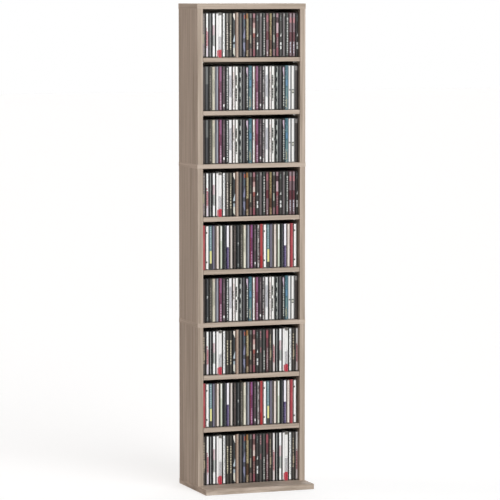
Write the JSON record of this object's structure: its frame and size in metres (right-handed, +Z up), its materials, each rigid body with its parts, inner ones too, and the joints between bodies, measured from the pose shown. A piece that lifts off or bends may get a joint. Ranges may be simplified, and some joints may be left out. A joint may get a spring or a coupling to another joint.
{
  "type": "disc storage tower",
  "caption": "Tall, narrow open tower of wood decor board with loose shelves on pins, full of thin disc cases standing in rows, on a base board that projects forward as a foot.",
  "frame": {"origin": "on the floor, under the middle of the tower's outline, base board and back panels included", "axes": "+Z up, +Y towards the back, so the open front and the foot face -Y; +X to the right, seen from the front"},
  "size_m": [0.322, 0.233, 1.3635],
  "materials": {
    "oak_decor_board": "satin",
    "back_hardboard": "matte",
    "zinc_casting": "satin",
    "plated_steel": "satin",
    "beech_dowel": "matte",
    "disc_case": "gloss",
    "printed_card": "satin"
  },
  "bodies": {
    "tower": {"top_board": "oak_decor_board", "middle_board_1": "oak_decor_board", "middle_board_2": "oak_decor_board", "base_board": "oak_decor_board", "side_left_1": "oak_decor_board", "side_left_2": "oak_decor_board", "side_left_3": "oak_decor_board", "side_right_1": "oak_decor_board", "side_right_2": "oak_decor_board", "side_right_3": "oak_decor_board", "back_panel_1": "back_hardboard", "back_panel_2": "back_hardboard", "back_panel_3": "back_hardboard", "back_nails": "plated_steel", "cam_housings": "zinc_casting", "cam_bolts": "plated_steel", "double_cam_bolts": "plated_steel", "dowels": "beech_dowel", "shelf_pins": "plated_steel", "row_3_cases": "disc_case", "row_6_cases": "disc_case", "row_9_cases": "disc_case"},
    "shelf_1_and_row": {"shelf_1": "oak_decor_board", "row_1_cases": "disc_case"},
    "shelf_2_and_row": {"shelf_2": "oak_decor_board", "row_2_cases": "disc_case"},
    "shelf_3_and_row": {"shelf_3": "oak_decor_board", "row_4_cases": "disc_case"},
    "shelf_4_and_row": {"shelf_4": "oak_decor_board", "row_5_cases": "disc_case"},
    "shelf_5_and_row": {"shelf_5": "oak_decor_board", "row_7_cases": "disc_case"},
    "shelf_6_and_row": {"shelf_6": "oak_decor_board", "row_8_cases": "disc_case"},
    "row_1_single_case": {"row_1_single_case": "disc_case"},
    "row_2_single_case": {"row_2_single_case": "disc_case"},
    "row_3_single_case": {"row_3_single_case": "disc_case"},
    "row_4_single_case": {"row_4_single_case": "disc_case"},
    "row_5_single_case": {"row_5_single_case": "disc_case"},
    "row_6_single_case": {"row_6_single_case": "disc_case"},
    "row_7_single_case": {"row_7_single_case": "disc_case"},
    "row_8_single_case": {"row_8_single_case": "disc_case"},
    "row_9_single_case": {"row_9_single_case": "disc_case"}
  },
  "joints": [
    {"name": "shelf_1_slide", "type": "slide", "parent": "tower", "child": "shelf_1_and_row", "axis": [0, -1, 0], "range_m": [0, 0.165]},
    {"name": "shelf_2_slide", "type": "slide", "parent": "tower", "child": "shelf_2_and_row", "axis": [0, -1, 0], "range_m": [0, 0.165]},
    {"name": "shelf_3_slide", "type": "slide", "parent": "tower", "child": "shelf_3_and_row", "axis": [0, -1, 0], "range_m": [0, 0.165]},
    {"name": "shelf_4_slide", "type": "slide", "parent": "tower", "child": "shelf_4_and_row", "axis": [0, -1, 0], "range_m": [0, 0.165]},
    {"name": "shelf_5_slide", "type": "slide", "parent": "tower", "child": "shelf_5_and_row", "axis": [0, -1, 0], "range_m": [0, 0.165]},
    {"name": "shelf_6_slide", "type": "slide", "parent": "tower", "child": "shelf_6_and_row", "axis": [0, -1, 0], "range_m": [0, 0.165]},
    {"name": "row_1_case_pull", "type": "slide", "parent": "shelf_1_and_row", "child": "row_1_single_case", "axis": [0, -1, 0], "range_m": [0, 0.16]},
    {"name": "row_2_case_pull", "type": "slide", "parent": "shelf_2_and_row", "child": "row_2_single_case", "axis": [0, -1, 0], "range_m": [0, 0.16]},
    {"name": "row_3_case_pull", "type": "slide", "parent": "tower", "child": "row_3_single_case", "axis": [0, -1, 0], "range_m": [0, 0.16]},
    {"name": "row_4_case_pull", "type": "slide", "parent": "shelf_3_and_row", "child": "row_4_single_case", "axis": [0, -1, 0], "range_m": [0, 0.16]},
    {"name": "row_5_case_pull", "type": "slide", "parent": "shelf_4_and_row", "child": "row_5_single_case", "axis": [0, -1, 0], "range_m": [0, 0.16]},
    {"name": "row_6_case_pull", "type": "slide", "parent": "tower", "child": "row_6_single_case", "axis": [0, -1, 0], "range_m": [0, 0.16]},
    {"name": "row_7_case_pull", "type": "slide", "parent": "shelf_5_and_row", "child": "row_7_single_case", "axis": [0, -1, 0], "range_m": [0, 0.16]},
    {"name": "row_8_case_pull", "type": "slide", "parent": "shelf_6_and_row", "child": "row_8_single_case", "axis": [0, -1, 0], "range_m": [0, 0.16]},
    {"name": "row_9_case_pull", "type": "slide", "parent": "tower", "child": "row_9_single_case", "axis": [0, -1, 0], "range_m": [0, 0.16]}
  ]
}
